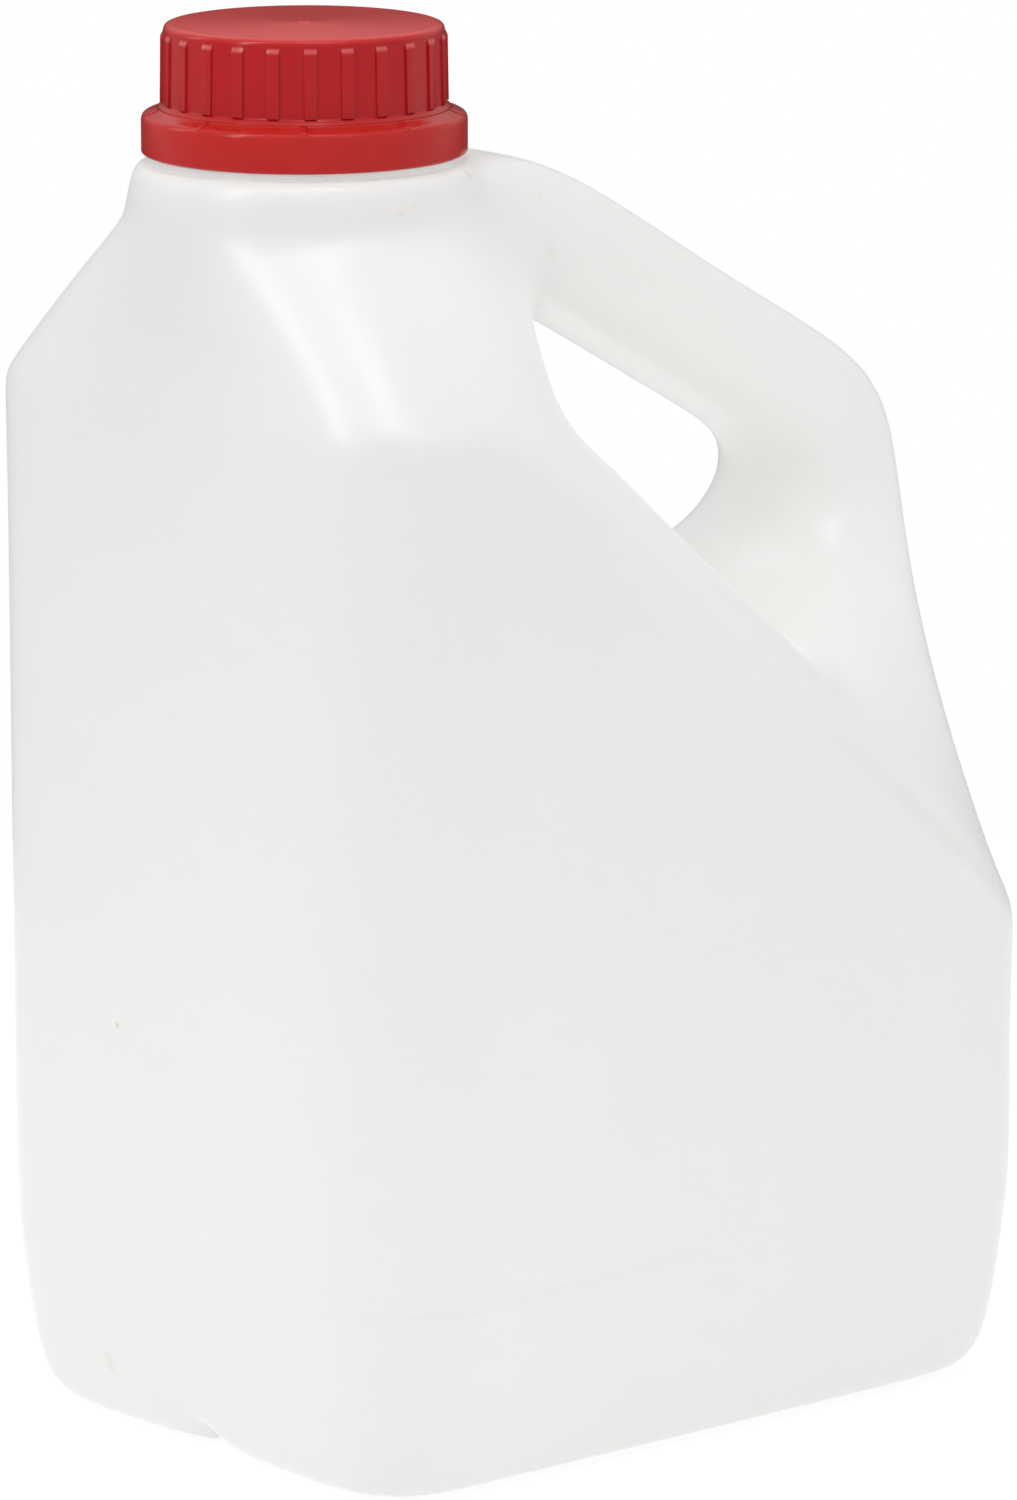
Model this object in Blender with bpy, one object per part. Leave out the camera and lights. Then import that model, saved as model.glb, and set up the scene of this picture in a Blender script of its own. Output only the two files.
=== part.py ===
"""Five-litre water jerrycan: a blow-moulded bottle with a through handle, a ribbed screw cap
and its tamper-evident band.

Frame: +Z up, front (neck side) towards -X, handle towards +X, the mould's parting plane at y = 0.
The origin is on the floor below the middle of the body.  Lengths are in metres.
"""
import math

import bmesh
import bpy

MM = 0.001
GAP = 0.3 * MM                     # air between touching pieces

# ---- bottle: body -------------------------------------------------------------------------
BODY_HALF_LENGTH = 95.5 * MM
BODY_HALF_WIDTH = 70.0 * MM
BODY_CORNER_RADIUS = 27.0 * MM
SHOULDER_HEIGHT = 222.2 * MM
SHOULDER_BOW = 1.03                # how much wider than a straight loft the shoulder is half way up
WALL_SINK = 0.4 * MM               # the walls shrink in by this much below the shoulder
TAPER_HEIGHT = 44.0 * MM           # the walls lean inwards below this line
TAPER_INSET = 4.8 * MM             # by this much at the heel
HEEL_HEIGHT = 12.0 * MM            # where the heel's rounding starts
BASE_INSET = 22.0 * MM             # from the wall to the flat of the base
BASE_CORNER_RADIUS = 13.0 * MM
NOTCH_HALF_WIDTH = 5.5 * MM        # pinch-off groove below the front
NOTCH_DEPTH = 9.0 * MM

# ---- bottle: diagonal rear shoulder -------------------------------------------------------
SLOPE = 0.835                      # fall of the diagonal per length, about 40 degrees
SLOPE_HEIGHT = 174.5 * MM          # its height at x = 0
ROOF_HALF_WIDTH = 58.0 * MM        # of the slope below the handle

# ---- bottle: handle -----------------------------------------------------------------------
GRIP_SLOPE = 0.569                 # fall of the grip per length, about 30 degrees
GRIP_UNDER = 237.5 * MM            # height of the grip's underside at x = 0
HANDLE_HALF_WIDTH = 21.0 * MM

# ---- neck, cap and band -------------------------------------------------------------------
NECK_X = -56.9 * MM
COLLAR_RADIUS = 36.4 * MM
COLLAR_FLARE = 1.6 * MM            # how much wider it is at the bottom
COLLAR_LOW = 258.5 * MM
COLLAR_TOP = 268.8 * MM
NECK_STEP_RADIUS = 32.4 * MM       # ledge of the neck that the band rests above
STUB_RADIUS = 26.8 * MM
STUB_TOP = 294.5 * MM
NECK_STEPS = 48
BAND_LOW = 272.4 * MM
BAND_HIGH = 280.0 * MM
BAND_RADIUS = 34.3 * MM
BAND_WALL_RADIUS = 29.2 * MM       # of its inner wall, which rises to just below the cap
BRIDGE_COUNT = 9
BRIDGE_DEPTH = 1.5 * MM
BRIDGE_TURN = math.radians(230.7)  # direction of one of the torn bridges
CAP_LOW = 281.2 * MM
CAP_TOP = 299.0 * MM
CAP_WALL_RADIUS = 29.6 * MM        # at the bottom of the grooves between the ribs
CAP_RIB_RADIUS = 30.3 * MM
CAP_BORE_RADIUS = 27.1 * MM
CAP_PLATE = 2.4 * MM
CAP_CHAMFER = 1.7 * MM
CAP_DRAFT = 0.35 * MM              # how much slimmer the cap is at the top
RIB_COUNT = 24
RIB_TURN = math.radians(232.4)     # direction of one of the ribs


def clear_scene():
    for old in list(bpy.data.objects):
        bpy.data.objects.remove(old, do_unlink=True)


def plastic(name, colour, roughness):
    material = bpy.data.materials.new(name)
    material.use_nodes = True
    shader = material.node_tree.nodes["Principled BSDF"]
    shader.inputs["Base Color"].default_value = (*colour, 1.0)
    shader.inputs["Roughness"].default_value = roughness
    shader.inputs["Metallic"].default_value = 0.0
    return material


def make_object(name, mesh, material):
    mesh.materials.append(material)
    thing = bpy.data.objects.new(name, mesh)
    bpy.context.scene.collection.objects.link(thing)
    return thing


# ---- round pieces about the neck ----------------------------------------------------------
def ring_of(mesh, radii, height, offsets, count, phase):
    """A loop of points about the neck's axis: the offsets, repeated count times.

    radii is one radius, or one for each offset.
    """
    if not isinstance(radii, tuple):
        radii = (radii,) * len(offsets)
    loop = []
    for repeat in range(count):
        for radius, offset in zip(radii, offsets):
            turn = phase + 2 * math.pi * (repeat + offset) / count
            x = NECK_X + radius * math.cos(turn)
            loop.append(mesh.verts.new((x, radius * math.sin(turn), height)))
    return loop


def bridge(mesh, low, high):
    count = len(low)
    for i in range(count):
        j = (i + 1) % count
        mesh.faces.new((low[i], low[j], high[j], high[i]))


# ---- bottle -------------------------------------------------------------------------------
class Cage:
    """Control cage of the half bottle at y <= 0, with its points kept by name."""

    def __init__(self):
        self.mesh = bmesh.new()
        self.crease = self.mesh.edges.layers.float.new("crease_edge")
        self.points = {}

    def point(self, name, x, y, z):
        self.points[name] = self.mesh.verts.new((x, y, z))

    def face(self, *names):
        self.mesh.faces.new([self.points[name] for name in names])

    def strips(self, *rows):
        """Quads between rows of named points, row by row."""
        for low, high in zip(rows, rows[1:]):
            for i in range(len(low) - 1):
                self.face(low[i], low[i + 1], high[i + 1], high[i])

    def sharpen(self, names, weight):
        for first, second in zip(names, names[1:]):
            edge = self.mesh.edges.get((self.points[first], self.points[second]))
            edge[self.crease] = weight


def slope_height(x):
    return SLOPE_HEIGHT - SLOPE * x


def grip_under(x, drop=0.0):
    return GRIP_UNDER - GRIP_SLOPE * x - drop


def body_outline(inset, radius):
    """Half of the body's plan, from the front middle round the near side to the back middle."""
    length = BODY_HALF_LENGTH - inset
    width = BODY_HALF_WIDTH - inset
    round_up = radius * 3 / (2 + math.cos(math.radians(30)))
    straight = length - radius
    plan = [(-length, 0.0), (-length, -NOTCH_HALF_WIDTH)]
    for angle in (0, 30, 60, 90):
        turn = math.radians(angle)
        reach = radius if angle in (0, 90) else round_up
        plan.append((-straight - reach * math.cos(turn), -width + radius - reach * math.sin(turn)))
    for share in (0.10, 0.34, 0.58, 0.80):
        plan.append((-straight + 2 * straight * share, -width))
    for angle in (90, 60, 30, 0):
        turn = math.radians(angle)
        reach = radius if angle in (0, 90) else round_up
        plan.append((straight + reach * math.cos(turn), -width + radius - reach * math.sin(turn)))
    plan.append((length, 0.0))
    return plan


COLUMNS = 15                       # points of that outline
NOTCH_COLUMN = 1
DIAGONAL_COLUMN = 6                # the column where the shoulder ends and the diagonal starts
RING_POINTS = 11                   # points of the half collar, front to back


def level(name, count=COLUMNS, notch=False):
    """Names of a level's points; the column beside the notch runs only up to the heel."""
    return [f"{name}{i}" for i in range(count) if notch or i != NOTCH_COLUMN]


def add_level(cage, name, height, inset, radius):
    """One level line round the half body; height is a number or a function of x."""
    for i, (x, y) in enumerate(body_outline(inset, radius)):
        z = height(x) if callable(height) else height
        cage.point(f"{name}{i}", x, y, z)


def rim_height(x):
    return min(SHOULDER_HEIGHT, slope_height(x))


def add_body(cage):
    add_level(cage, "rim", rim_height, 0.0, BODY_CORNER_RADIUS)
    add_level(cage, "under", lambda x: rim_height(x) - 12 * MM, WALL_SINK, BODY_CORNER_RADIUS)
    add_level(cage, "taper", TAPER_HEIGHT, WALL_SINK, BODY_CORNER_RADIUS)
    add_level(cage, "heel", HEEL_HEIGHT, TAPER_INSET, BODY_CORNER_RADIUS - 6 * MM)
    add_level(cage, "turn", 0.0, TAPER_INSET + 3.9 * MM, BODY_CORNER_RADIUS - 8 * MM)
    add_level(cage, "base", 0.0, BASE_INSET, BASE_CORNER_RADIUS)
    for name, share in (("turn", 1.0), ("base", 0.8)):
        cage.points[f"{name}0"].co.z = share * NOTCH_DEPTH
    for name, length in (("groove", 30 * MM), ("floor", 45 * MM)):
        cage.point(f"{name}0", -BODY_HALF_LENGTH + length, 0, 0)
        cage.point(f"{name}1", -BODY_HALF_LENGTH + length, -NOTCH_HALF_WIDTH, 0)
    cage.strips(*[level(name, notch=True) for name in ("base", "turn", "heel")])
    cage.face("heel0", "heel1", "heel2", "taper2", "taper0")
    above = ("heel", "taper", "under", "rim")
    cage.strips(*[level(name)[1:] for name in above])
    cage.strips(*[level(name)[:2] for name in above[1:]])
    cage.strips(["base0", "base1"], ["groove0", "groove1"], ["floor0", "floor1"])
    cage.face("floor0", *reversed(level("base")[1:]), "base1", "groove1", "floor1")
    cage.sharpen(level("rim", DIAGONAL_COLUMN + 1), 0.5)
    cage.sharpen(level("rim", COLUMNS - 2)[DIAGONAL_COLUMN - 1:], 0.8)
    cage.sharpen(level("taper"), 0.8)
    cage.sharpen(level("heel", notch=True), 0.15)
    cage.sharpen(["groove1", "base1", "turn1"], 0.7)


def add_neck(cage):
    """Shoulder and collar; the neck itself is joined on later."""
    rings = (
        ("low", COLLAR_RADIUS + COLLAR_FLARE, COLLAR_LOW),
        ("collar", COLLAR_RADIUS, COLLAR_TOP),
        ("lip", NECK_STEP_RADIUS + 1.6 * MM, COLLAR_TOP + 1.4 * MM),
    )
    front = DIAGONAL_COLUMN + 1
    for name, radius, height in rings:
        names = level(name, RING_POINTS)
        for step, point in enumerate(names):
            turn = math.pi * step / (len(names) - 1)
            cage.point(point, NECK_X - radius * math.cos(turn), -radius * math.sin(turn), height)
    for low, rim, middle in zip(*[level(name, front) for name in ("low", "rim", "shoulder")]):
        x, y, z = cage.points[rim].co.lerp(cage.points[low].co, 0.5)
        cage.point(middle, x, y * SHOULDER_BOW, z)
    cage.strips(*[level(name, front) for name in ("rim", "shoulder", "low", "collar")])
    cage.strips(*[level(name, RING_POINTS) for name in ("collar", "lip")])
    cage.face(*level("lip", RING_POINTS))
    cage.sharpen(level("low", front), 0.5)
    cage.sharpen(level("lip", RING_POINTS), 0.5)


def add_handle(cage):
    """Lines that run round the hole, station by station.

    top and edge: middle and near corner of the outer face; side: middle of the near side;
    inner, lining and bore: near corner, half width and middle of the hole's wall.
    """
    back = BODY_HALF_LENGTH
    half = HANDLE_HALF_WIDTH
    outer = (                      # x, half width, z of the corner of the outer face
        (-5 * MM, half, 269.4 * MM),
        (38 * MM, half, 241.8 * MM),
        (72 * MM, half, 223.8 * MM),
        (90 * MM, half, 211 * MM),
        (back, 19 * MM, 188 * MM),
        (back, 24.5 * MM, 164 * MM),
        (back, 39 * MM, 134 * MM),
    )
    side = (                       # x, half width, z of the middle of the side
        (2 * MM, half, 253 * MM),
        (32 * MM, half, 232 * MM),
        (64 * MM, half, 213 * MM),
        (80 * MM, half, 203 * MM),
        (84 * MM, half, 187 * MM),
        (80 * MM, 31 * MM, 165 * MM),
        (68 * MM, 48 * MM, 147 * MM),
    )
    inner = (                      # the near rim of the hole, from the neck clockwise
        (-20 * MM, 31 * MM, 238 * MM),
        (-2 * MM, 17 * MM, grip_under(-2 * MM, 0.5 * MM)),
        (26 * MM, 16 * MM, grip_under(26 * MM, 0.5 * MM)),
        (58 * MM, 16 * MM, grip_under(58 * MM, 0.5 * MM)),
        (71 * MM, 17 * MM, 197 * MM),
        (73 * MM, 19 * MM, 186 * MM),
        (66 * MM, 31 * MM, 173 * MM),
        (47 * MM, 47 * MM, 170.5 * MM),
        (31 * MM, 57.5 * MM, 166.7 * MM),
        (18 * MM, ROOF_HALF_WIDTH, 177 * MM),
        (-14 * MM, ROOF_HALF_WIDTH, 204.2 * MM),
        (-25.4 * MM, 57 * MM, 216.6 * MM),
        (-27.8 * MM, 45 * MM, 227.8 * MM),
    )
    bore = (                       # x and z of the hole's wall in the parting plane
        (-18 * MM, 239 * MM),
        (-2 * MM, grip_under(-2 * MM, 2 * MM)),
        (26 * MM, grip_under(26 * MM, 2 * MM)),
        (54 * MM, grip_under(54 * MM, 2 * MM)),
        (67.4 * MM, 197.3 * MM),
        (65.2 * MM, 184.5 * MM),
        (61.5 * MM, 170 * MM),
        (52 * MM, 158 * MM),
        (42 * MM, 154.5 * MM),
        (18 * MM, 176 * MM),
        (-14 * MM, 203.2 * MM),
        (-22.5 * MM, 211.5 * MM),
        (-24.5 * MM, 226 * MM),
    )
    for k, (x, width, z) in enumerate(outer, start=1):
        cage.point(f"top{k}", x, 0, z)
        cage.point(f"crown{k}", x, -0.52 * width, z)
        cage.point(f"edge{k}", x, -width, z)
    for k, (x, width, z) in enumerate(side, start=1):
        cage.point(f"side{k}", x, -width, z)
    for k, ((x, width, z), (bore_x, bore_z)) in enumerate(zip(inner, bore)):
        cage.point(f"inner{k}", x, -width, z)
        cage.point(f"lining{k}", 0.25 * x + 0.75 * bore_x, -0.5 * width, 0.25 * z + 0.75 * bore_z)
        cage.point(f"bore{k}", bore_x, 0, bore_z)
    cage.point("side0", -27 * MM, -25 * MM, 256 * MM)
    cage.point("flank1", -36 * MM, -46 * MM, 240 * MM)
    cage.point("flank0", -42 * MM, -60 * MM, 225 * MM)

    last = len(outer)
    lines = ("top", "crown", "edge", "side")
    for k in range(1, last):
        cage.strips([f"{line}{k}" for line in lines], [f"{line}{k + 1}" for line in lines])
        cage.face(f"side{k}", f"inner{k}", f"inner{k + 1}", f"side{k + 1}")
    for k in range(len(inner)):
        following = (k + 1) % len(inner)
        for near, far in (("inner", "lining"), ("lining", "bore")):
            cage.face(f"{near}{k}", f"{near}{following}", f"{far}{following}", f"{far}{k}")

    # the root at the neck, where the collar's last points start the handle's lines
    cage.strips(["collar10", "collar9", "collar8", "side0", "inner0"],
                ["top1", "crown1", "edge1", "side1", "inner1"])
    cage.strips(["collar6", "collar7", "collar8"], ["low6", "low7", "side0"],
                ["shoulder6", "flank1", "inner0"], ["rim6", "flank0", "inner12"])
    cage.face("rim6", "flank0", "inner12", "inner11")

    # the bevel along the diagonal, and the foot of the rear leg
    cage.strips(["rim6", "rim7", "rim8", "rim9"], ["inner11", "inner10", "inner9", "inner8"])
    cage.strips(["rim9", "rim10", "rim11", "rim12", "rim13", "rim14"],
                ["inner8", f"inner{last}", f"side{last}", f"edge{last}", f"crown{last}", f"top{last}"])
    cage.sharpen(["inner8", "inner9", "inner10", "inner11"], 0.3)


def make_neck():
    """Plain round neck: the ledge below the band and the stub inside the cap, sunk into the collar."""
    profile = (
        (NECK_STEP_RADIUS, COLLAR_LOW),
        (NECK_STEP_RADIUS, BAND_LOW - GAP),
        (STUB_RADIUS, BAND_LOW - GAP),
        (STUB_RADIUS, STUB_TOP),
    )
    neck = bmesh.new()
    loops = [ring_of(neck, radius, height, (0.0,), NECK_STEPS, 0.0) for radius, height in profile]
    for low, high in zip(loops, loops[1:]):
        bridge(neck, low, high)
    neck.faces.new(loops[0])
    neck.faces.new(loops[-1])
    bmesh.ops.recalc_face_normals(neck, faces=neck.faces)
    mesh = bpy.data.meshes.new("neck")
    neck.to_mesh(mesh)
    neck.free()
    mesh.shade_smooth()
    thing = bpy.data.objects.new("neck", mesh)
    bpy.context.scene.collection.objects.link(thing)
    thing.hide_render = True
    thing.display_type = "WIRE"
    return thing


def make_bottle(material):
    cage = Cage()
    add_body(cage)
    add_neck(cage)
    add_handle(cage)
    mesh = bpy.data.meshes.new("bottle")
    bmesh.ops.recalc_face_normals(cage.mesh, faces=cage.mesh.faces)
    cage.mesh.to_mesh(mesh)
    cage.mesh.free()
    bottle = make_object("bottle", mesh, material)
    mirror = bottle.modifiers.new("other half", "MIRROR")
    mirror.use_axis = (False, True, False)
    mirror.use_clip = True
    mirror.merge_threshold = 0.05 * MM
    smooth = bottle.modifiers.new("blown form", "SUBSURF")
    smooth.levels = 2
    smooth.render_levels = 2
    union = bottle.modifiers.new("neck", "BOOLEAN")
    union.operation = "UNION"
    union.solver = "EXACT"
    union.object = make_neck()
    mesh.shade_smooth()
    return bottle


# ---- cap and band -------------------------------------------------------------------------
RIB_OFFSETS = (-0.20, -0.10, 0.10, 0.20)                            # in shares of the pitch
BRIDGE_OFFSETS = (-0.11, -0.06, 0.06, 0.11, 0.305, 0.5, 0.695)


def finish(mesh, name, material):
    bmesh.ops.recalc_face_normals(mesh, faces=mesh.faces)
    data = bpy.data.meshes.new(name)
    mesh.to_mesh(data)
    mesh.free()
    data.shade_smooth()
    data.set_sharp_from_angle(angle=math.radians(40))
    return make_object(name, data, material)


def make_cap(material):
    """Ribbed cup: the outer wall from its lower flange up to the plate, then the bore."""
    slim = CAP_WALL_RADIUS - CAP_DRAFT
    grooved = (CAP_WALL_RADIUS, CAP_RIB_RADIUS, CAP_RIB_RADIUS, CAP_WALL_RADIUS)
    flange = CAP_RIB_RADIUS + 0.5 * MM
    outside = (
        (flange, CAP_LOW),
        (flange, CAP_LOW + 1.0 * MM),
        (grooved, CAP_LOW + 1.3 * MM),
        (tuple(radius - CAP_DRAFT for radius in grooved), CAP_TOP - CAP_CHAMFER - 0.9 * MM),
        (slim, CAP_TOP - CAP_CHAMFER),
        (slim - CAP_CHAMFER, CAP_TOP),
    )
    inside = ((CAP_BORE_RADIUS, CAP_TOP - CAP_PLATE), (CAP_BORE_RADIUS, CAP_LOW))
    cup = bmesh.new()
    walls = []
    for profile in (outside, inside):
        walls.append([ring_of(cup, radii, height, RIB_OFFSETS, RIB_COUNT, RIB_TURN)
                      for radii, height in profile])
    for loops in walls:
        for low, high in zip(loops, loops[1:]):
            bridge(cup, low, high)
    outer, bore = walls
    cup.faces.new(outer[-1])
    cup.faces.new(bore[0])
    bridge(cup, bore[-1], outer[0])
    return finish(cup, "cap", material)


def make_band(material):
    """Ring on the neck below the cap, with the stubs of the bridges torn on opening."""
    bore = STUB_RADIUS + GAP + 0.5 * MM
    stub = BAND_WALL_RADIUS + BRIDGE_DEPTH
    wall = (BAND_WALL_RADIUS, stub, stub) + (BAND_WALL_RADIUS,) * (len(BRIDGE_OFFSETS) - 3)
    profile = (
        (BAND_RADIUS, BAND_LOW),
        (BAND_RADIUS - 0.1 * MM, BAND_HIGH - 0.7 * MM),
        (BAND_RADIUS - 0.7 * MM, BAND_HIGH),
        (wall, BAND_HIGH),
        (wall, CAP_LOW - GAP),
        (bore, CAP_LOW - GAP),
        (bore, BAND_LOW),
    )
    band = bmesh.new()
    loops = [ring_of(band, radii, height, BRIDGE_OFFSETS, BRIDGE_COUNT, BRIDGE_TURN)
             for radii, height in profile]
    for low, high in zip(loops, loops[1:] + loops[:1]):
        bridge(band, low, high)
    return finish(band, "tamper_band", material)


def main():
    clear_scene()
    natural = plastic("natural HDPE", (0.80, 0.80, 0.78), 0.38)
    red = plastic("red polypropylene", (0.47, 0.02, 0.018), 0.35)
    make_bottle(natural)
    make_cap(red)
    make_band(red)


main()
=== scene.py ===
"""Dresses the water jerrycan: blown bottle, screw cap and tamper band, on a pale floor."""
import math

import bmesh
import bpy
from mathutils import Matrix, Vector


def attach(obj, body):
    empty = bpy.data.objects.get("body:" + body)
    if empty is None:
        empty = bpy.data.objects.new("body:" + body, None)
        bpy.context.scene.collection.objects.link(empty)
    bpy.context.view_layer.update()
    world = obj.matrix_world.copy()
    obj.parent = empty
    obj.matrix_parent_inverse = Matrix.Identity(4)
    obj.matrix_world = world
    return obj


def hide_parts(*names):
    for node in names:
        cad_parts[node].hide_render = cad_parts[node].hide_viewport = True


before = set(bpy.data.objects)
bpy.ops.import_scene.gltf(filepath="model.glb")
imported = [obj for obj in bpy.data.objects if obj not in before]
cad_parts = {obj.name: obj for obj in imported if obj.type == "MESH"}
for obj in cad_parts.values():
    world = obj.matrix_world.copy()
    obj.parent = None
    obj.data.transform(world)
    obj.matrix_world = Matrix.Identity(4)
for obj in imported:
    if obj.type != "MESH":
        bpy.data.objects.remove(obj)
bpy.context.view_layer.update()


# ---- bottle -------------------------------------------------------------------------------------
# The five-litre bottle, extrusion-blown in one piece with its through handle.
# Natural HDPE, so it is milky white and lets some light into its walls; the mould leaves a fine
# matt skin, a faint line where its halves met, and a few specks that were blown in.
def linear(code):
    """A colour written as an sRGB hex code, as the linear colour the shaders take."""
    parts = [int(code[i:i + 2], 16) / 255 for i in (0, 2, 4)]
    return (*[c / 12.92 if c <= 0.04045 else ((c + 0.055) / 1.055) ** 2.4 for c in parts], 1.0)


def add_node(material, kind, settings=(), links=()):
    """A shader node. Settings are its own options or unlinked sockets; links feed its sockets."""
    tree = material.node_tree
    node = tree.nodes.new(kind)
    for name, value in dict(settings).items():
        if isinstance(name, int) or name in node.inputs:
            node.inputs[name].default_value = value
        else:
            setattr(node, name, value)
    for name, source in dict(links).items():
        tree.links.new(source, node.inputs[name])
    return node


def new_plastic(name, settings):
    """A Principled plastic with the given fixed values; returns the material and its shader."""
    material = bpy.data.materials.new(name)
    material.use_nodes = True
    shader = material.node_tree.nodes["Principled BSDF"]
    for socket, value in settings.items():
        shader.inputs[socket].default_value = value
    return material, shader


bottle_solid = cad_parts["bottle"]
bpy.ops.object.select_all(action="DESELECT")
bottle_solid.select_set(True)
bpy.context.view_layer.objects.active = bottle_solid
bpy.ops.object.duplicate()
bottle = bpy.context.view_layer.objects.active
bottle.name = "blown_bottle"
bpy.ops.object.mode_set(mode="EDIT")
bpy.ops.mesh.select_all(action="SELECT")
bpy.ops.mesh.remove_doubles(threshold=0.000002)
bpy.ops.mesh.tris_convert_to_quads(
    face_threshold=math.radians(60), shape_threshold=math.radians(80))
# its sharp edges, such as the rims of the neck stub, stay crisp
bpy.ops.mesh.select_all(action="DESELECT")
bpy.ops.mesh.edges_select_sharp(sharpness=math.radians(35))
bpy.ops.transform.edge_crease(value=1.0)
bpy.ops.object.mode_set(mode="OBJECT")
rounding = bottle.modifiers.new("blown rounding", "SUBSURF")
rounding.levels = 1
rounding.render_levels = 1
bpy.ops.object.modifier_apply(modifier=rounding.name)
bpy.ops.object.shade_smooth_by_angle(angle=math.radians(50))

# Natural high-density polyethylene, blown against a blasted mould: IOR 1.54 and a silky sheen.
# Its thin milky wall sends back two fifths of the light and lets the rest through into the bottle.
# All of the surface has its gloss, so the gloss is doubled on the part of the light sent back.
let_through = 0.60
hdpe, hdpe_shader = new_plastic("natural blown HDPE", {
    "IOR": 1.54,
    "Specular IOR Level": 1.0,
    "Roughness": 0.31,
})
place = add_node(hdpe, "ShaderNodeTexCoord").outputs["Object"]
apart = add_node(hdpe, "ShaderNodeSeparateXYZ", {}, {"Vector": place})
aside = add_node(hdpe, "ShaderNodeMath", {"operation": "ABSOLUTE"}, {0: apart.outputs["Y"]})

# painted light: the handle and the neck, above a diagonal, are painted lighter to lift the shade
# that falls on them, over clouds of lighter and darker tone some 40 mm across
diagonal_fall = 0.835
cloud_size = 0.040
climb = add_node(hdpe, "ShaderNodeMath", {"operation": "MULTIPLY_ADD", 1: diagonal_fall},
                 {0: apart.outputs["X"], 2: apart.outputs["Z"]})
# painted light: rises from nothing below the diagonal to its full lightening above it
painted_light_above_diagonal = add_node(hdpe, "ShaderNodeMapRange",
                     {"From Min": 0.160, "From Max": 0.205, "To Min": 0.0, "To Max": 0.8},
                     {"Value": climb.outputs["Value"]})
cloud = add_node(hdpe, "ShaderNodeTexNoise", {"Scale": 1 / cloud_size, "Detail": 2.0},
                 {"Vector": place})
clouds_and_painted_light = add_node(hdpe, "ShaderNodeMath", {"operation": "MULTIPLY_ADD", 1: 0.2},
                  {0: cloud.outputs["Fac"], 2: painted_light_above_diagonal.outputs["Result"]})
# the milky white, painted lighter above the diagonal as painted light
milk_and_painted_light = add_node(hdpe, "ShaderNodeMix",
                {"data_type": "RGBA", 6: linear("F4F4F3"), 7: linear("FCFCFB")},
                {0: clouds_and_painted_light.outputs["Value"]})

# painted shade: a soft grey line is painted along the two bends of the wall, as the shade in these
# creases: where the taper starts above the base, most at the corner, and along the diagonal below
# the handle, most at its foot; each line has its height, its half-width, where along X it begins
# and is strongest, how far to the side it begins, and its strength
taper_rise = 0.028
sink = add_node(hdpe, "ShaderNodeMath", {"operation": "MULTIPLY_ADD", 1: -taper_rise},
                {0: apart.outputs["X"], 2: apart.outputs["Z"]})
painted_taper_shade = (sink, 0.0443, 0.0018, 0.000, -0.035, 0.045, 0.055)
painted_diagonal_shade = (climb, 0.1735, 0.0050, 0.000, 0.060, 0.064, 0.13)
wall_side = 0.066
wall = milk_and_painted_light
for level, middle, half_width, start, strongest, inner, strength in (painted_taper_shade, painted_diagonal_shade):
    off = add_node(hdpe, "ShaderNodeMath", {"operation": "SUBTRACT", 1: middle},
                   {0: level.outputs["Value"]})
    off = add_node(hdpe, "ShaderNodeMath", {"operation": "ABSOLUTE"}, {0: off.outputs["Value"]})
    line = add_node(hdpe, "ShaderNodeMapRange",
                    {"interpolation_type": "SMOOTHSTEP", "From Min": 0.0, "From Max": half_width,
                     "To Min": strength, "To Max": 0.0}, {"Value": off.outputs["Value"]})
    along = add_node(hdpe, "ShaderNodeMapRange", {"From Min": start, "From Max": strongest},
                     {"Value": apart.outputs["X"]})
    outer = add_node(hdpe, "ShaderNodeMapRange", {"From Min": inner, "From Max": wall_side},
                     {"Value": aside.outputs["Value"]})
    line = add_node(hdpe, "ShaderNodeMath", {"operation": "MULTIPLY"},
                    {0: line.outputs["Result"], 1: along.outputs["Result"]})
    line = add_node(hdpe, "ShaderNodeMath", {"operation": "MULTIPLY"},
                    {0: line.outputs["Value"], 1: outer.outputs["Result"]})
    # painted shade: the grey of the crease line is laid over the wall colour
    wall = add_node(hdpe, "ShaderNodeMix", {"data_type": "RGBA", 7: linear("C9CAC5")},
                    {0: line.outputs["Value"], 6: wall.outputs[2]})

# specks of burnt resin in the wall and scuffs on it, each with its place, radius and strength: one
# on the front, two on the collar, three at the root of the grip and three at the foot
specks = (
    ((-0.0951, 0.0161, 0.0907), 0.0006, 0.30),
    ((-0.0613, -0.0361, 0.2637), 0.0006, 0.10),
    ((-0.0577, -0.0361, 0.2648), 0.0006, 0.06),
    ((-0.0124, -0.0223, 0.2609), 0.0010, 0.07),
    ((-0.0373, -0.0288, 0.2687), 0.0016, 0.12),
    ((-0.0103, -0.0230, 0.2492), 0.0022, 0.05),
    ((-0.0910, 0.0256, 0.0168), 0.0009, 0.08),
    ((-0.0907, 0.0253, 0.0152), 0.0009, 0.10),
    ((-0.0904, 0.0250, 0.0136), 0.0009, 0.08),
)
flaws_and_painted_light = wall
for centre, radius, strength in specks:
    away = add_node(hdpe, "ShaderNodeVectorMath", {"operation": "DISTANCE", 1: centre}, {0: place})
    stain = add_node(hdpe, "ShaderNodeMapRange",
                     {"From Min": 0.4 * radius, "From Max": 1.4 * radius,
                      "To Min": strength, "To Max": 0.0},
                     {"Value": away.outputs["Value"]})
    flaws_and_painted_light = add_node(hdpe, "ShaderNodeMix", {"data_type": "RGBA", 7: linear("A08A78")},
                     {0: stain.outputs["Result"], 6: flaws_and_painted_light.outputs[2]})

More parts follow.
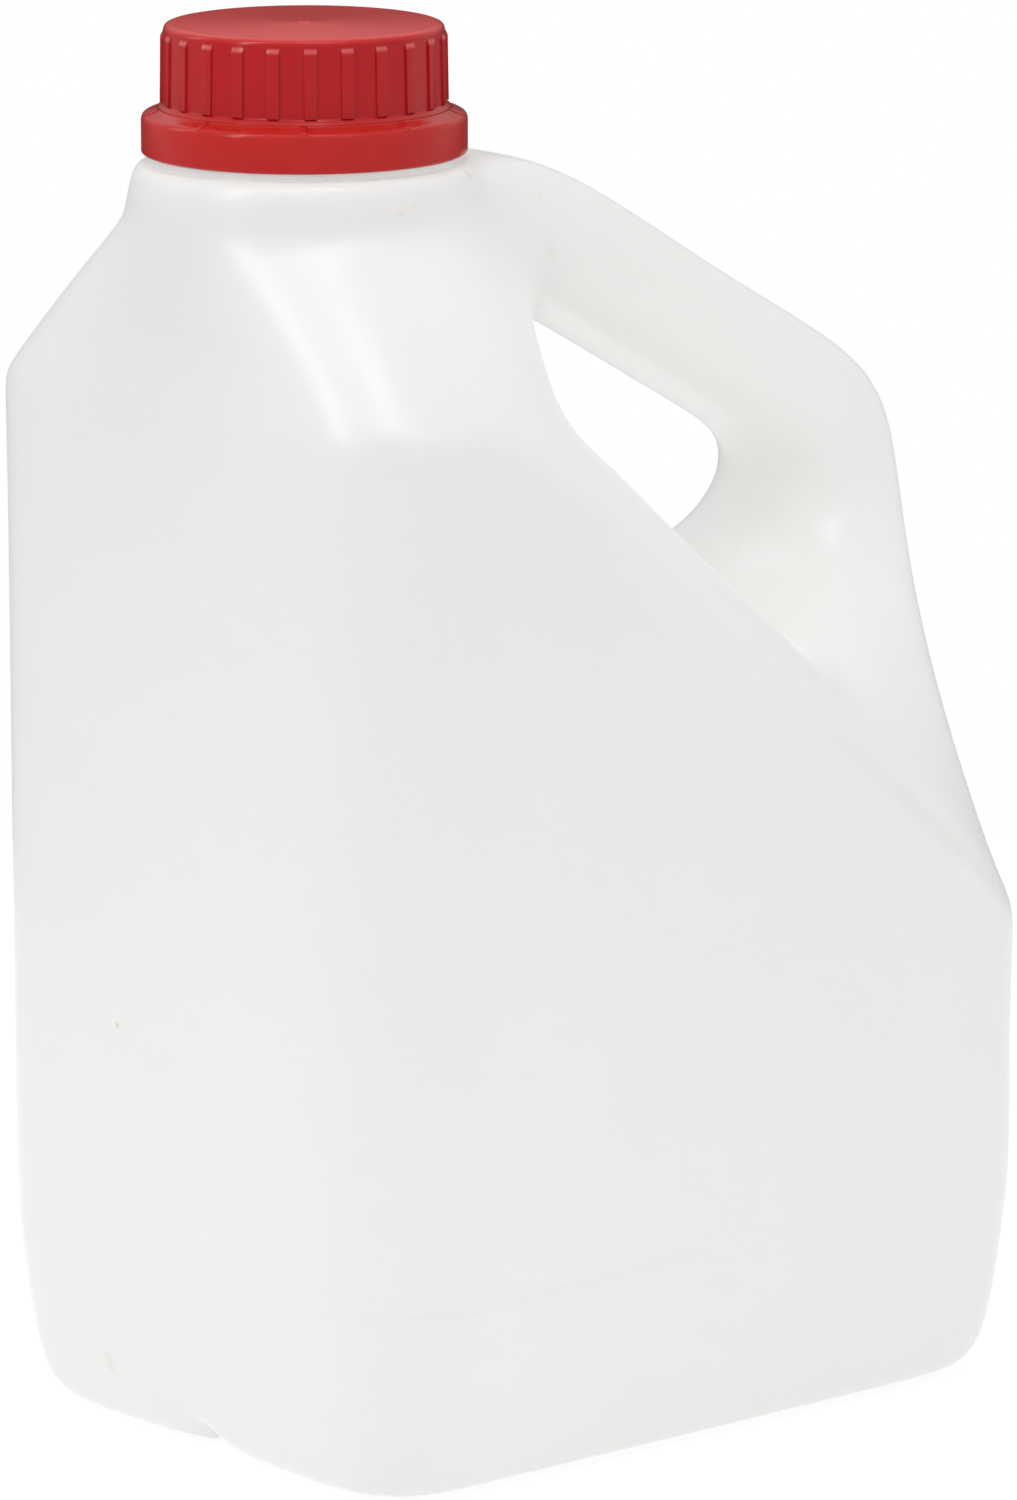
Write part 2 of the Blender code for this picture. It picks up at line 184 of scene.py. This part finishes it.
# the grain of the blasted mould, 0.9 mm across and two hundredths deep, and the thin seam where
# the halves of the mould met, a tenth high
grain_size, grain_depth = 0.0009, 0.00002
seam_inner, seam_outer, seam_height = 0.0002, 0.0007, 0.0001
grain = add_node(hdpe, "ShaderNodeTexNoise", {"Scale": 1 / grain_size, "Detail": 3.0},
                 {"Vector": place})
seam = add_node(hdpe, "ShaderNodeMapRange",
                {"From Min": seam_inner, "From Max": seam_outer, "To Min": 1.0, "To Max": 0.0},
                {"Value": aside.outputs["Value"]})
skin = add_node(hdpe, "ShaderNodeBump", {"Strength": 0.3, "Distance": grain_depth},
                {"Height": grain.outputs["Fac"]})
ridge = add_node(hdpe, "ShaderNodeBump", {"Strength": 0.5, "Distance": seam_height},
                 {"Height": seam.outputs["Result"], "Normal": skin.outputs["Normal"]})
through = add_node(hdpe, "ShaderNodeBsdfTranslucent", {},
                   {"Color": flaws_and_painted_light.outputs[2], "Normal": skin.outputs["Normal"]})

# the flatter the light meets the wall, the more of it is sent back as gloss and the less gets
# through, by the fifth power of Schlick's rule
slant = add_node(hdpe, "ShaderNodeLayerWeight", {"Blend": 0.5})
gloss = add_node(hdpe, "ShaderNodeMath", {"operation": "POWER", 1: 5.0},
                 {0: slant.outputs["Facing"]})
share = add_node(hdpe, "ShaderNodeMapRange", {"To Min": let_through, "To Max": 0.0},
                 {"Value": gloss.outputs["Value"]})
join = add_node(hdpe, "ShaderNodeMixShader", {}, {
    0: share.outputs["Result"], 1: hdpe_shader.outputs["BSDF"], 2: through.outputs["BSDF"]})
hdpe.node_tree.links.new(flaws_and_painted_light.outputs[2], hdpe_shader.inputs["Base Color"])
hdpe.node_tree.links.new(ridge.outputs["Normal"], hdpe_shader.inputs["Normal"])
hdpe.node_tree.links.new(join.outputs["Shader"],
                         hdpe.node_tree.nodes["Material Output"].inputs["Surface"])
bottle.data.materials.clear()
bottle.data.materials.append(hdpe)
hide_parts("bottle")
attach(bottle, "root")


# ---- screw cap ----------------------------------------------------------------------------------
# Injection-moulded red polypropylene cap with 24 grip ribs, a rounded top edge and a narrow flange
# at the bottom, where the tamper band was joined to it.  It screws over the neck, and its bore is
# plain because nothing shows of its thread.
neck_x = -0.0569
rib_count = 24
columns = 3 * rib_count
rib_turn = math.radians(233.5)
rib_half_width = 0.04
rib_low, rib_high = 0.2826, 0.2970
rib_stand_out = 1.018
rib_end_slope = 0.0009
cap_edge_radius = 0.00028


def on_neck(radius, turn, height):
    """A point at a radius and direction from the neck's axis."""
    return Vector((neck_x + radius * math.cos(turn), radius * math.sin(turn), height))


def turned_piece(name, profile, turn, steps):
    """Draws a profile of (radius, height) points by extruding a corner, and spins it."""
    bpy.ops.object.select_all(action="DESELECT")
    bpy.ops.mesh.primitive_plane_add(size=0.001, enter_editmode=True, location=(0, 0, 0))
    piece = bpy.context.object
    piece.name = name
    bpy.ops.mesh.merge(type="CENTER")
    points = [on_neck(radius, turn, height) for radius, height in profile]
    bpy.ops.transform.translate(value=points[0])
    for last, following in zip(points, points[1:]):
        bpy.ops.mesh.extrude_region_move(TRANSFORM_OT_translate={"value": following - last})
    bpy.ops.mesh.select_all(action="SELECT")
    bpy.ops.mesh.spin(steps=steps, angle=2 * math.pi, center=(neck_x, 0, 0), axis=(0, 0, 1))
    bpy.ops.mesh.select_all(action="SELECT")
    bpy.ops.mesh.remove_doubles(threshold=0.00001)
    bpy.ops.mesh.normals_make_consistent(inside=False)
    return piece


def pick(piece, kind, wanted):
    """In edit mode, selects only the faces or points whose radius, turn and height pass a test."""
    bpy.ops.mesh.select_mode(type=kind)
    bpy.ops.mesh.select_all(action="DESELECT")
    mesh = bmesh.from_edit_mesh(piece.data)
    for part in mesh.faces if kind == "FACE" else mesh.verts:
        x, y, height = part.calc_center_median() if kind == "FACE" else part.co
        part.select_set(wanted(math.hypot(x - neck_x, y), math.atan2(y, x - neck_x), height))
    mesh.select_flush_mode()
    bmesh.update_edit_mesh(piece.data)


def off_beat(turn, phase, count):
    """How far a direction is from the nearest of count even directions that start at phase."""
    pitch = 2 * math.pi / count
    return abs((turn - phase + pitch / 2) % pitch - pitch / 2)


def soften_edges(piece, width, segments):
    """Rounds the sharp edges by a small radius, and shades the rest smooth."""
    bpy.ops.object.mode_set(mode="OBJECT")
    edge = piece.modifiers.new("edge radius", "BEVEL")
    edge.width = width
    edge.segments = segments
    edge.limit_method = "ANGLE"
    edge.angle_limit = math.radians(28)
    edge.harden_normals = False
    bpy.ops.object.modifier_apply(modifier=edge.name)
    bpy.ops.object.shade_smooth_by_angle(angle=math.radians(45))


cap_bore = [(0.0, 0.2963), (0.0271, 0.2963), (0.0271, 0.2812)]
cap_flange = [(0.0299, 0.2812), (0.0301, 0.2814), (0.0301, 0.2816), (0.0297, 0.2820)]
grooved_wall = [(0.0291, rib_low), (0.0289, rib_high)]
top_edge = [(0.0288, 0.2975), (0.0287, 0.2979), (0.0284, 0.2983), (0.0278, 0.29855),
            (0.0270, 0.2987)]
gate_mark = [(0.0012, 0.2987), (0.0009, 0.2989), (0.0, 0.2989)]
cap = turned_piece("screw_cap", cap_bore + cap_flange + grooved_wall + top_edge + gate_mark,
                   rib_turn + math.pi / columns, columns)
pick(cap, "FACE", lambda radius, turn, height: (
    radius > 0.0285 and rib_low < height < rib_high
    and off_beat(turn, rib_turn, rib_count) < rib_half_width))
bpy.ops.mesh.extrude_region_move()
bpy.ops.transform.resize(value=(rib_stand_out, rib_stand_out, 1.0),
                         center_override=(neck_x, 0, 0.29))
pick(cap, "VERT", lambda radius, turn, height: radius > 0.0293 and height > rib_high - 0.0002)
bpy.ops.transform.translate(value=(0, 0, -rib_end_slope))
soften_edges(cap, cap_edge_radius, 3)

# Polypropylene homopolymer from a spark-eroded tool: IOR 1.49, a satin face with broad highlights.
polypropylene, pp_shader = new_plastic("moulded red polypropylene", {
    "IOR": 1.49,
    "Specular IOR Level": 0.24,
    "Roughness": 0.20,
})
cap_place = add_node(polypropylene, "ShaderNodeTexCoord").outputs["Object"]
cap_apart = add_node(polypropylene, "ShaderNodeSeparateXYZ", {}, {"Vector": cap_place})
off_axis = add_node(polypropylene, "ShaderNodeVectorMath",
                    {"operation": "MULTIPLY_ADD", 1: (1, 1, 0), 2: (-neck_x, 0, 0)},
                    {0: cap_place})
reach = add_node(polypropylene, "ShaderNodeVectorMath", {"operation": "LENGTH"},
                 {0: off_axis.outputs["Vector"]})

# painted light and painted shade: the ribs, the flange and the band are painted a lighter red than
# the grooves, which take painted shade; the top is painted lighter still, as painted light from
# above, and the upper ends of the ribs carry a painted highlight
painted_rib_light = add_node(polypropylene, "ShaderNodeMapRange",
                       {"From Min": 0.0290, "From Max": 0.0301},
                       {"Value": reach.outputs["Value"]})
painted_top_light = add_node(polypropylene, "ShaderNodeMapRange",
                      {"From Min": 0.2974, "From Max": 0.2986},
                      {"Value": cap_apart.outputs["Z"]})
end_height = add_node(polypropylene, "ShaderNodeMapRange",
                      {"From Min": 0.2956, "From Max": 0.2962},
                      {"Value": cap_apart.outputs["Z"]})
end_reach = add_node(polypropylene, "ShaderNodeMapRange",
                     {"From Min": 0.0289, "From Max": 0.0291, "To Max": 0.48},
                     {"Value": reach.outputs["Value"]})
painted_rib_end_highlight = add_node(polypropylene, "ShaderNodeMath", {"operation": "MULTIPLY"},
                      {0: end_height.outputs["Result"], 1: end_reach.outputs["Result"]})

# pigment streaks of some 8 mm
streak_size = 0.008
streak = add_node(polypropylene, "ShaderNodeTexNoise", {"Scale": 1 / streak_size, "Detail": 3.0},
                  {"Vector": cap_place})
# painted shade and painted light: a darker red for the grooves and a lighter red for the ribs,
# flange and band
grooves = add_node(polypropylene, "ShaderNodeMix",
                   {"data_type": "RGBA", 6: linear("A20F15"), 7: linear("A81318")},
                   {0: streak.outputs["Fac"]})
ribs = add_node(polypropylene, "ShaderNodeMix",
                {"data_type": "RGBA", 6: linear("AB1C19"), 7: linear("B3221C")},
                {0: streak.outputs["Fac"]})
red_and_painted_light = add_node(polypropylene, "ShaderNodeMix", {"data_type": "RGBA"},
                   {0: painted_rib_light.outputs["Result"], 6: grooves.outputs[2], 7: ribs.outputs[2]})
# painted light: the top of the cap is painted a lighter red
red_and_painted_light = add_node(polypropylene, "ShaderNodeMix", {"data_type": "RGBA", 7: linear("C02B28")},
                   {0: painted_top_light.outputs["Result"], 6: red_and_painted_light.outputs[2]})
# painted highlight: the upper ends of the ribs are painted a pale pink
red_and_painted_light = add_node(polypropylene, "ShaderNodeMix", {"data_type": "RGBA", 7: linear("D36C6C")},
                   {0: painted_rib_end_highlight.outputs["Value"], 6: red_and_painted_light.outputs[2]})
polypropylene.node_tree.links.new(red_and_painted_light.outputs[2], pp_shader.inputs["Base Color"])

# the spark-eroded grain of the tool, 0.35 mm across and a hundredth deep
erosion_size, erosion_depth = 0.00035, 0.00001
eroded = add_node(polypropylene, "ShaderNodeTexNoise", {"Scale": 1 / erosion_size, "Detail": 2.0},
                  {"Vector": cap_place})
erosion = add_node(polypropylene, "ShaderNodeBump", {"Strength": 0.4, "Distance": erosion_depth},
                   {"Height": eroded.outputs["Fac"]})
polypropylene.node_tree.links.new(erosion.outputs["Normal"], pp_shader.inputs["Normal"])
cap.data.materials.clear()
cap.data.materials.append(polypropylene)
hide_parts("cap")
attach(cap, "root")


# ---- tamper band --------------------------------------------------------------------------------
# The ring below the cap, moulded with it in the same red polypropylene.  Nine small bridges on its
# upper face tear when the cap is first turned, and the ring then stays on the neck.
bridge_count = 9
bridge_turn = math.radians(230.7)
bridge_half_width = 0.035
bridge_stub = 0.0003
band_columns = 144
band_edge_radius = 0.0002
band_inside = [(0.0276, 0.2724)]
band_foot = [(0.0326, 0.2724), (0.0327, 0.2720), (0.0331, 0.2720), (0.0335, 0.2724)]
band_shoulder = [(0.0335, 0.2789), (0.0334, 0.2795), (0.0331, 0.2800), (0.0326, 0.2803),
                 (0.0320, 0.2805)]
band_lip = [(0.0304, 0.2812), (0.0302, 0.2815), (0.03015, 0.2811), (0.0276, 0.2811)]
band = turned_piece("tamper_ring",
                    band_inside + band_foot + band_shoulder + band_lip + band_inside,
                    bridge_turn + math.pi / band_columns, band_columns)
pick(band, "FACE", lambda radius, turn, height: (
    0.0303 < radius < 0.0330 and height > 0.279
    and off_beat(turn, bridge_turn, bridge_count) < bridge_half_width))
bpy.ops.mesh.extrude_region_move(TRANSFORM_OT_translate={"value": (0, 0, bridge_stub)})
soften_edges(band, band_edge_radius, 2)
band.data.materials.clear()
band.data.materials.append(polypropylene)
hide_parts("tamper_band")
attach(band, "root")


# ---- floor, light and camera --------------------------------------------------------------------
# A plain round light table of white acrylic, lit from below, which leaves next to no shadow.
table_radius = 0.55
bpy.ops.object.select_all(action="DESELECT")
bpy.ops.mesh.primitive_circle_add(
    vertices=128, radius=table_radius, fill_type="NGON", location=(0, 0, -0.0001))
floor = bpy.context.object
floor.name = "light_table"
acrylic, acrylic_shader = new_plastic("lit white acrylic", {
    "Base Color": linear("C4C4C4"),
    "Roughness": 0.8,
    "Specular IOR Level": 0.2,
    "Emission Color": (1.0, 1.0, 1.0, 1.0),
    "Emission Strength": 0.55,
})
floor.data.materials.append(acrylic)

# An even white room, a little brighter above than below and dimmer low down behind the object,
# before a plain white backdrop.
white = (1.0, 1.0, 1.0, 1.0)
low_behind = (0.647, 0.763, -0.7)
mostly_up = (0.4, -0.25, 1.0)
world = bpy.data.worlds.new("white room")
world.use_nodes = True
backdrop = world.node_tree.nodes["Background"]
backdrop.inputs["Color"].default_value = white
heading = add_node(world, "ShaderNodeTexCoord").outputs["Generated"]
behind = add_node(world, "ShaderNodeVectorMath", {"operation": "DOT_PRODUCT", 1: low_behind},
                  {0: heading})
dimmed = add_node(world, "ShaderNodeMapRange",
                  {"interpolation_type": "SMOOTHSTEP", "From Min": 0.40, "From Max": 1.00,
                   "To Min": 1.0, "To Max": 0.10}, {"Value": behind.outputs["Value"]})
upward = add_node(world, "ShaderNodeVectorMath", {"operation": "DOT_PRODUCT", 1: mostly_up},
                  {0: heading})
ceiling = add_node(world, "ShaderNodeMapRange",
                   {"From Min": -0.5, "To Min": 0.713, "To Max": 0.93},
                   {"Value": upward.outputs["Value"]})
brightness = add_node(world, "ShaderNodeMath", {"operation": "MULTIPLY"},
                      {0: dimmed.outputs["Result"], 1: ceiling.outputs["Result"]})
room = add_node(world, "ShaderNodeBackground", {"Color": white},
                {"Strength": brightness.outputs["Value"]})
seen = add_node(world, "ShaderNodeLightPath")
either = add_node(world, "ShaderNodeMixShader", {}, {
    0: seen.outputs["Is Camera Ray"],
    1: room.outputs["Background"],
    2: backdrop.outputs["Background"],
})
world.node_tree.links.new(either.outputs["Shader"],
                          world.node_tree.nodes["World Output"].inputs["Surface"])
bpy.context.scene.world = world
bpy.context.scene.view_settings.view_transform = "Standard"


def softbox(name, turn, rise, distance, width, height, radiance):
    """A soft light that hangs in a direction from the object (degrees) and faces it."""
    lamp = bpy.data.lights.new(name, "AREA")
    lamp.shape = "RECTANGLE"
    lamp.size, lamp.size_y = width, height
    lamp.energy = radiance * math.pi * width * height
    light = bpy.data.objects.new(name, lamp)
    bpy.context.scene.collection.objects.link(light)
    turn, rise = math.radians(turn), math.radians(rise)
    away = Vector((math.cos(turn) * math.cos(rise), math.sin(turn) * math.cos(rise),
                   math.sin(rise)))
    light.location = Vector((-0.03, 0, 0.2)) + away * distance
    light.rotation_euler = away.to_track_quat("Z", "Y").to_euler()


softbox("left strip", 179, 36, 1.3, 0.10, 0.70, 14.0)
softbox("top box", -120, 69, 1.3, 0.28, 0.24, 5.6)
softbox("front strip", -136, 61, 1.3, 1.5, 0.16, 4.5)
softbox("back box", 128, 26, 1.6, 0.30, 0.70, 2.4)

# A long lens from a little above, aimed at the middle of the bottle.
camera_data = bpy.data.cameras.new("camera")
camera_data.sensor_width = 36.0
camera_data.lens = 213.6
camera_data.clip_end = 50.0
camera = bpy.data.objects.new("camera", camera_data)
bpy.context.scene.collection.objects.link(camera)
bpy.context.scene.camera = camera
camera_turn, camera_rise = math.radians(-40.3), math.radians(12.03)
camera_aim, camera_distance = Vector((-0.0025, -0.0005, 0.1391)), 1.8865
back = Vector((math.sin(camera_turn) * math.cos(camera_rise),
               -math.cos(camera_turn) * math.cos(camera_rise), math.sin(camera_rise)))
camera.location = camera_aim + back * camera_distance
camera.rotation_euler = back.to_track_quat("Z", "Y").to_euler()
